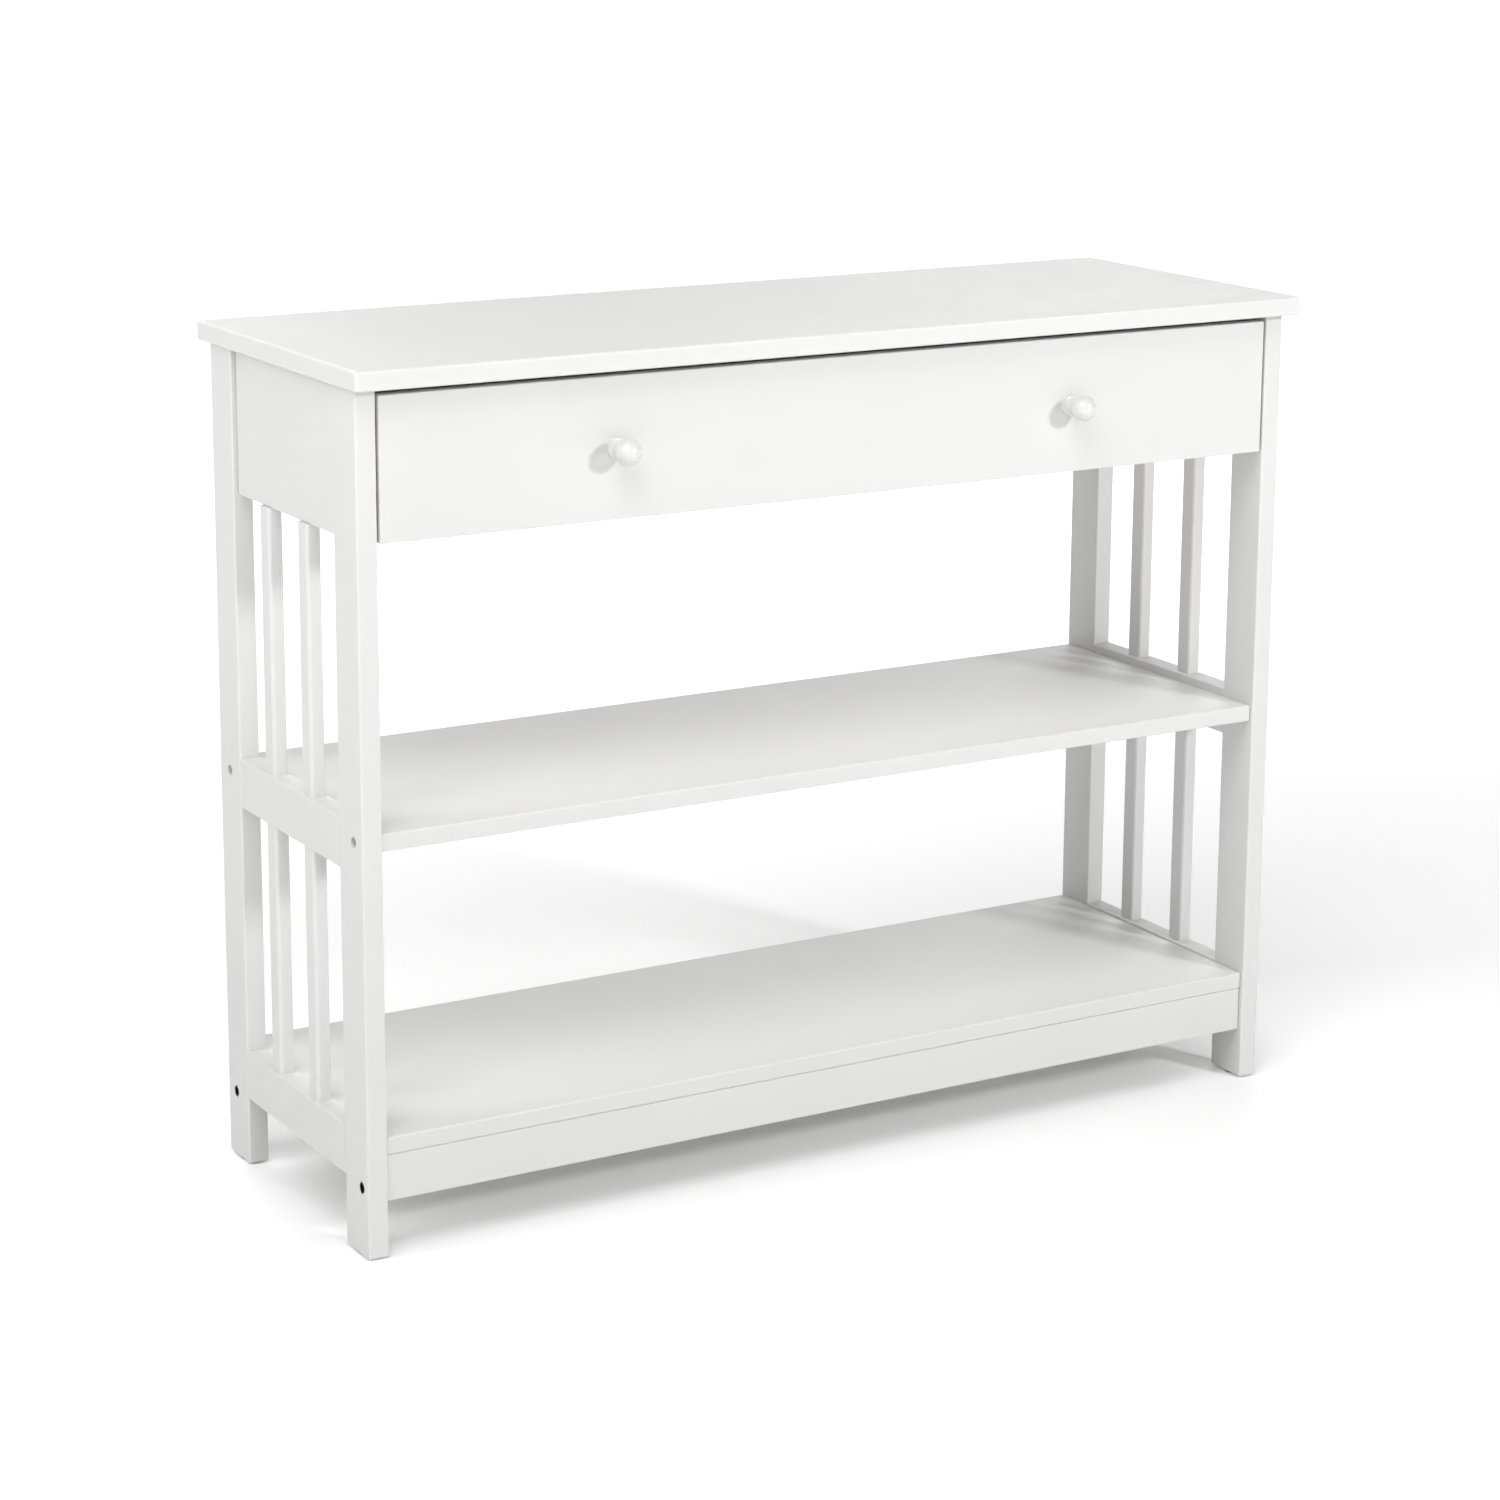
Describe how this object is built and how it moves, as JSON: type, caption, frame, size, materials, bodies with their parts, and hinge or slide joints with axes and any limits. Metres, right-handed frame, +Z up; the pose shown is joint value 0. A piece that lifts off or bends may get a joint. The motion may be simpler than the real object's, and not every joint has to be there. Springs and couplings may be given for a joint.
{
  "type": "console table",
  "caption": "Narrow console table with slatted end frames, a wide drawer on roller slides, a middle shelf and a bottom shelf, assembled with bolts.",
  "frame": {"origin": "on the floor, under the middle of the whole table's box with the knobs counted in", "axes": "+X along the table to its right end, +Y from the drawer side to the back, +Z up"},
  "size_m": [1, 0.366, 0.8],
  "materials": {
    "white_paint": "satin white lacquer on wood and fibreboard",
    "knob_paint": "semi-gloss white lacquer on turned wood",
    "drawer_foil": "matt foil on fibreboard",
    "coated_steel": "cream epoxy powder coat",
    "zinc_steel": "zinc plated",
    "nylon": "moulded nylon",
    "glide_plastic": "moulded polyethylene"
  },
  "bodies": {
    "frame": {"bolt_apron_front_left": "zinc_steel", "bolt_apron_front_right": "zinc_steel", "bolt_apron_rear_left": "zinc_steel", "bolt_apron_rear_right": "zinc_steel", "bolt_shelf_front_left": "zinc_steel", "bolt_shelf_front_right": "zinc_steel", "bolt_shelf_rear_left": "zinc_steel", "bolt_shelf_rear_right": "zinc_steel", "bottom_rail_left": "white_paint", "bottom_rail_right": "white_paint", "bottom_shelf": "white_paint", "foot_glide_front_left": "glide_plastic", "foot_glide_front_right": "glide_plastic", "foot_glide_rear_left": "glide_plastic", "foot_glide_rear_right": "glide_plastic", "front_apron": "white_paint", "leg_front_left": "white_paint", "leg_front_right": "white_paint", "leg_rear_left": "white_paint", "leg_rear_right": "white_paint", "middle_rail_left": "white_paint", "middle_rail_right": "white_paint", "middle_shelf": "white_paint", "rear_apron": "white_paint", "rear_panel": "white_paint", "side_panel_left": "white_paint", "side_panel_right": "white_paint", "slat_lower_front_left": "white_paint", "slat_lower_front_right": "white_paint", "slat_lower_rear_left": "white_paint", "slat_lower_rear_right": "white_paint", "slat_upper_front_left": "white_paint", "slat_upper_front_right": "white_paint", "slat_upper_rear_left": "white_paint", "slat_upper_rear_right": "white_paint", "slide_channel_left": "coated_steel", "slide_channel_right": "coated_steel", "tabletop": "white_paint", "top_bracket_front_left": "zinc_steel", "top_bracket_front_right": "zinc_steel", "top_bracket_rear_left": "zinc_steel", "top_bracket_rear_right": "zinc_steel"},
    "drawer": {"drawer_back": "drawer_foil", "drawer_floor": "drawer_foil", "drawer_front": "white_paint", "drawer_side_left": "drawer_foil", "drawer_side_right": "drawer_foil", "knob_left": "knob_paint", "knob_right": "knob_paint", "knob_screw_left": "zinc_steel", "knob_screw_right": "zinc_steel", "slide_rail_left": "coated_steel", "slide_rail_right": "coated_steel"},
    "channel_roller_left_body": {"channel_roller_left": "nylon"},
    "channel_roller_right_body": {"channel_roller_right": "nylon"},
    "rail_roller_left_body": {"rail_roller_left": "nylon"},
    "rail_roller_right_body": {"rail_roller_right": "nylon"}
  },
  "joints": [
    {"name": "drawer_slide", "type": "slide", "parent": "frame", "child": "drawer", "axis": [0, -1, 0], "range_m": [0, 0.19]},
    {"name": "channel_roller_left_spin", "type": "hinge", "parent": "frame", "child": "channel_roller_left_body", "pos_m": [-0.46765, -0.1147, 0.6732], "axis": [1, 0, 0], "range_deg": [0, 1220]},
    {"name": "rail_roller_left_spin", "type": "hinge", "parent": "drawer", "child": "rail_roller_left_body", "pos_m": [-0.46765, 0.1113, 0.6713], "axis": [1, 0, 0], "range_deg": [0, 1220]},
    {"name": "channel_roller_right_spin", "type": "hinge", "parent": "frame", "child": "channel_roller_right_body", "pos_m": [0.46765, -0.1147, 0.6732], "axis": [1, 0, 0], "range_deg": [0, 1220]},
    {"name": "rail_roller_right_spin", "type": "hinge", "parent": "drawer", "child": "rail_roller_right_body", "pos_m": [0.46765, 0.1113, 0.6713], "axis": [1, 0, 0], "range_deg": [0, 1220]}
  ],
  "couplings": [
    {"joint": "channel_roller_left_spin", "follows": "drawer_slide", "rad_per_m": 111.11},
    {"joint": "rail_roller_left_spin", "follows": "drawer_slide", "rad_per_m": 111.11},
    {"joint": "channel_roller_right_spin", "follows": "drawer_slide", "rad_per_m": 111.11},
    {"joint": "rail_roller_right_spin", "follows": "drawer_slide", "rad_per_m": 111.11}
  ]
}
